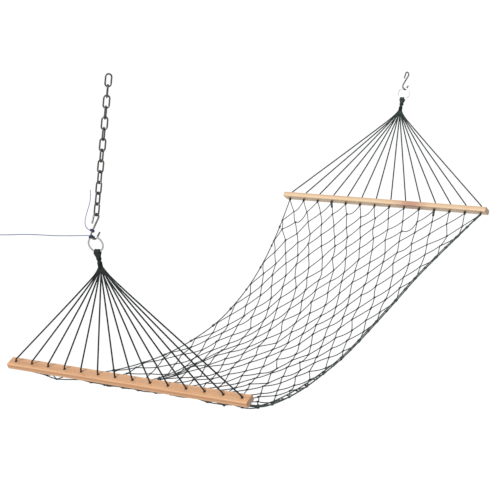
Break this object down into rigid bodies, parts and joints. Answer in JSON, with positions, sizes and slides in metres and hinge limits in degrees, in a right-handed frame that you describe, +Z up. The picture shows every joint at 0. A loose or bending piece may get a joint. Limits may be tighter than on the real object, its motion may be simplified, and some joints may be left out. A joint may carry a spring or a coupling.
{
  "type": "rope hammock",
  "caption": "Rope net hammock with two wooden spreader bars, fans of cord, rings, S-hooks, a chain at the near end and a thin guy line.",
  "frame": {"origin": "centre of the top chain link's free eye, from which the near end hangs", "axes": "+X from the near (chain) end to the far end, +Y along the spreader bars, +Z up"},
  "size_m": [2.2809, 0.8, 0.9761],
  "materials": {
    "chain_steel": "dark grey coated steel, worn on the bends",
    "hook_steel": "grey zinc-plated steel wire",
    "ring_steel": "bright zinc-plated steel wire",
    "near_rope": "twisted black-green polyester cord",
    "far_rope": "twisted dark green polyester cord",
    "whipping_twine": "tightly wound dark green twine",
    "net_twine": "knotted dark grey-green twine",
    "near_bar_wood": "clear-varnished orange-tan hardwood",
    "far_bar_wood": "clear-varnished pale honey pine with a knot",
    "guy_twine": "thin pale blue-grey twine"
  },
  "bodies": {
    "hangers": {"chain_link_01": "chain_steel", "far_s_hook": "hook_steel"},
    "bed": {"far_clew": "far_rope", "far_whipping": "whipping_twine", "far_bar": "far_bar_wood", "far_cord_01": "far_rope", "far_cord_02": "far_rope", "far_cord_03": "far_rope", "far_cord_04": "far_rope", "far_cord_05": "far_rope", "far_cord_06": "far_rope", "far_cord_07": "far_rope", "far_cord_08": "far_rope", "far_cord_09": "far_rope", "far_cord_10": "far_rope", "far_cord_11": "far_rope", "far_cord_12": "far_rope", "far_cord_13": "far_rope", "far_cord_14": "far_rope", "net_bed": "net_twine"},
    "near_end": {"near_s_hook": "hook_steel", "near_ring": "ring_steel", "near_clew": "near_rope", "near_whipping": "whipping_twine", "near_bar": "near_bar_wood", "near_cord_01": "near_rope", "near_cord_02": "near_rope", "near_cord_03": "near_rope", "near_cord_04": "near_rope", "near_cord_05": "near_rope", "near_cord_06": "near_rope", "near_cord_07": "near_rope", "near_cord_08": "near_rope", "near_cord_09": "near_rope", "near_cord_10": "near_rope", "near_cord_11": "near_rope", "near_cord_12": "near_rope", "near_cord_13": "near_rope", "near_cord_14": "near_rope", "guy_hitch_lower": "guy_twine", "guy_hitch_upper": "guy_twine", "guy_line": "guy_twine", "guy_tail": "guy_twine"},
    "far_ring_body": {"far_ring": "ring_steel"},
    "link_02_body": {"chain_link_02": "chain_steel"},
    "link_03_body": {"chain_link_03": "chain_steel"},
    "link_04_body": {"chain_link_04": "chain_steel"},
    "link_05_body": {"chain_link_05": "chain_steel"},
    "link_06_body": {"chain_link_06": "chain_steel"},
    "link_07_body": {"chain_link_07": "chain_steel"},
    "link_08_body": {"chain_link_08": "chain_steel"},
    "link_09_body": {"chain_link_09": "chain_steel"},
    "link_10_body": {"chain_link_10": "chain_steel"},
    "link_11_body": {"chain_link_11": "chain_steel"},
    "link_12_body": {"chain_link_12": "chain_steel"},
    "link_13_body": {"chain_link_13": "chain_steel"}
  },
  "joints": [
    {"name": "side_swing", "type": "hinge", "parent": "hangers", "child": "bed", "pos_m": [-0.00191, 0, -0.02187], "axis": [0.9995, 0, 0.0326], "range_deg": [-20, 20]},
    {"name": "near_end_sway", "type": "hinge", "parent": "bed", "child": "near_end", "pos_m": [-0.00191, 0, -0.02187], "axis": [0.9995, 0, 0.0326], "range_deg": [-4, 4]},
    {"name": "far_ring_turn", "type": "hinge", "parent": "bed", "child": "far_ring_body", "pos_m": [1.78174, 0, 0.02141], "axis": [0.9421, 0.1324, -0.3079], "continuous": true},
    {"name": "link_07_twist", "type": "hinge", "parent": "near_end", "child": "link_07_body", "pos_m": [0, 0, 0], "axis": [0.0872, 0, 0.9962], "range_deg": [-24, 24]},
    {"name": "link_02_twist", "type": "hinge", "parent": "near_end", "child": "link_02_body", "pos_m": [0, 0, 0], "axis": [0.0872, 0, 0.9962], "range_deg": [-24, 24]},
    {"name": "link_03_twist", "type": "hinge", "parent": "near_end", "child": "link_03_body", "pos_m": [0, 0, 0], "axis": [0.0872, 0, 0.9962], "range_deg": [-24, 24]},
    {"name": "link_04_twist", "type": "hinge", "parent": "near_end", "child": "link_04_body", "pos_m": [0, 0, 0], "axis": [0.0872, 0, 0.9962], "range_deg": [-24, 24]},
    {"name": "link_05_twist", "type": "hinge", "parent": "near_end", "child": "link_05_body", "pos_m": [0, 0, 0], "axis": [0.0872, 0, 0.9962], "range_deg": [-24, 24]},
    {"name": "link_06_twist", "type": "hinge", "parent": "near_end", "child": "link_06_body", "pos_m": [0, 0, 0], "axis": [0.0872, 0, 0.9962], "range_deg": [-24, 24]},
    {"name": "link_08_twist", "type": "hinge", "parent": "near_end", "child": "link_08_body", "pos_m": [0, 0, 0], "axis": [0.0872, 0, 0.9962], "range_deg": [-24, 24]},
    {"name": "link_09_twist", "type": "hinge", "parent": "near_end", "child": "link_09_body", "pos_m": [0, 0, 0], "axis": [0.0872, 0, 0.9962], "range_deg": [-24, 24]},
    {"name": "link_10_twist", "type": "hinge", "parent": "near_end", "child": "link_10_body", "pos_m": [0, 0, 0], "axis": [0.0872, 0, 0.9962], "range_deg": [-24, 24]},
    {"name": "link_11_twist", "type": "hinge", "parent": "near_end", "child": "link_11_body", "pos_m": [0, 0, 0], "axis": [0.0872, 0, 0.9962], "range_deg": [-24, 24]},
    {"name": "link_12_twist", "type": "hinge", "parent": "near_end", "child": "link_12_body", "pos_m": [0, 0, 0], "axis": [0.0872, 0, 0.9962], "range_deg": [-24, 24]},
    {"name": "link_13_twist", "type": "hinge", "parent": "near_end", "child": "link_13_body", "pos_m": [0, 0, 0], "axis": [0.0872, 0, 0.9962], "range_deg": [-24, 24]}
  ],
  "couplings": [
    {"joint": "link_02_twist", "follows": "link_07_twist", "ratio": 0.1667},
    {"joint": "link_03_twist", "follows": "link_07_twist", "ratio": 0.3333},
    {"joint": "link_04_twist", "follows": "link_07_twist", "ratio": 0.5},
    {"joint": "link_05_twist", "follows": "link_07_twist", "ratio": 0.6667},
    {"joint": "link_06_twist", "follows": "link_07_twist", "ratio": 0.8333},
    {"joint": "link_08_twist", "follows": "link_07_twist", "ratio": 0.8571},
    {"joint": "link_09_twist", "follows": "link_07_twist", "ratio": 0.7143},
    {"joint": "link_10_twist", "follows": "link_07_twist", "ratio": 0.5714},
    {"joint": "link_11_twist", "follows": "link_07_twist", "ratio": 0.4286},
    {"joint": "link_12_twist", "follows": "link_07_twist", "ratio": 0.2857},
    {"joint": "link_13_twist", "follows": "link_07_twist", "ratio": 0.1429}
  ]
}
